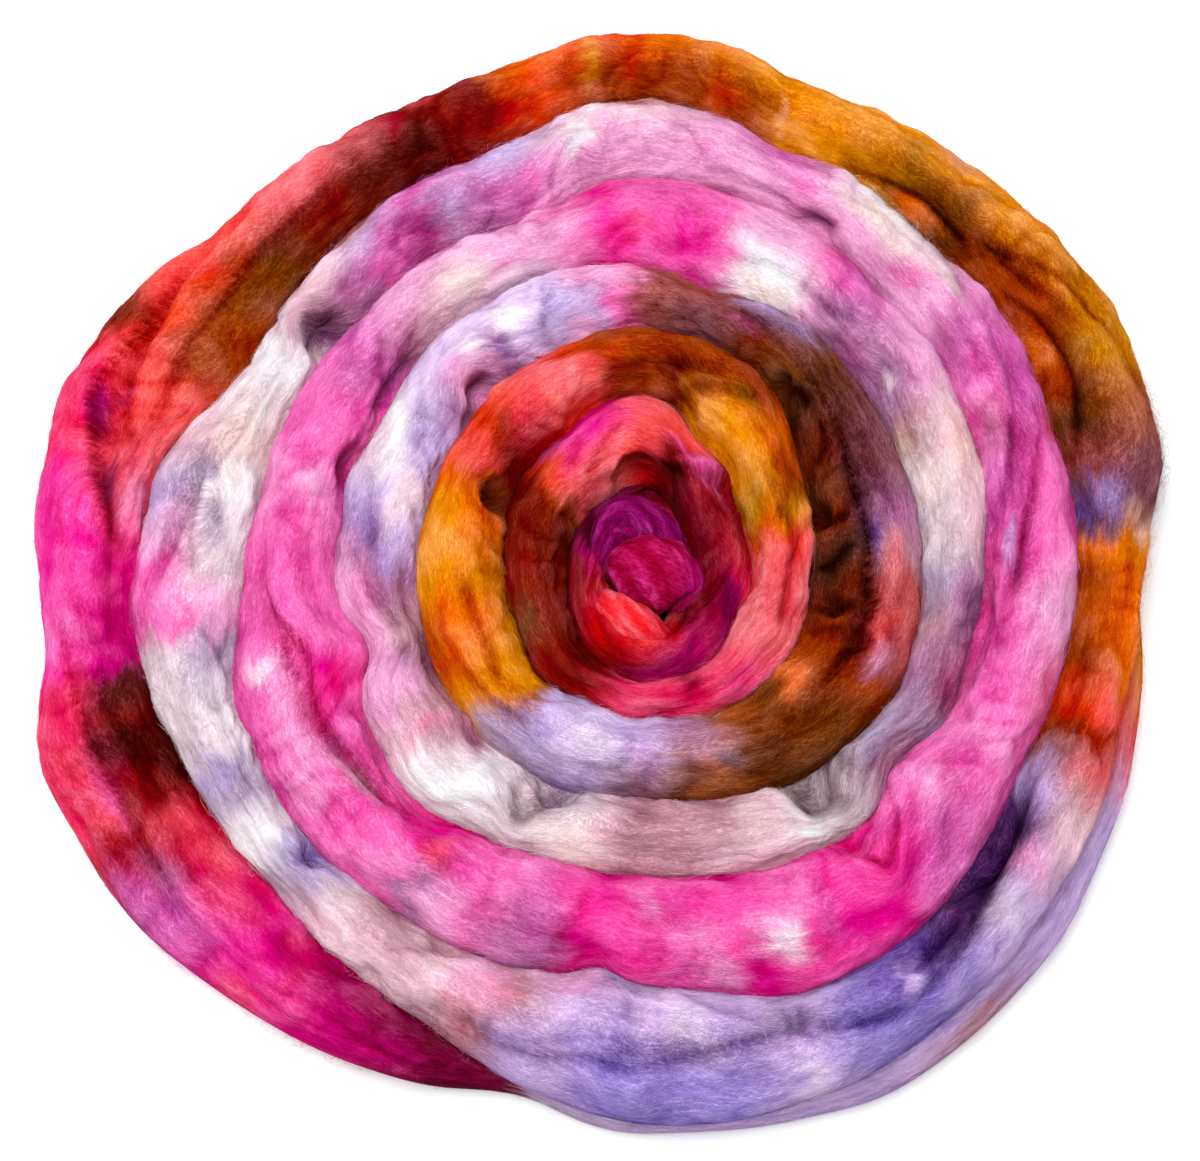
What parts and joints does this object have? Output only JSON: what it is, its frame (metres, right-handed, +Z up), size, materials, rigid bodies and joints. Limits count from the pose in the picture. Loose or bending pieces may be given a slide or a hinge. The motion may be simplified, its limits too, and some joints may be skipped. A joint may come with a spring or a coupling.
{
  "type": "coil of wool roving",
  "caption": "Length of hand-dyed combed wool top wound flat into a loose spiral coil, its inner end curled in the middle.",
  "frame": {"origin": "middle of the coil's box, at the level of the table it lies on", "axes": "+Z up from the table through the flat coil, -Y towards the side the picture is taken from, +X to its right"},
  "size_m": [0.4338, 0.4446, 0.053],
  "materials": {
    "dyed_wool": "matt combed wool fibre, dyed along its length in pink, magenta, lilac, white, orange, rust and dark red"
  },
  "bodies": {
    "root": {"roving": "dyed_wool"}
  },
  "joints": []
}
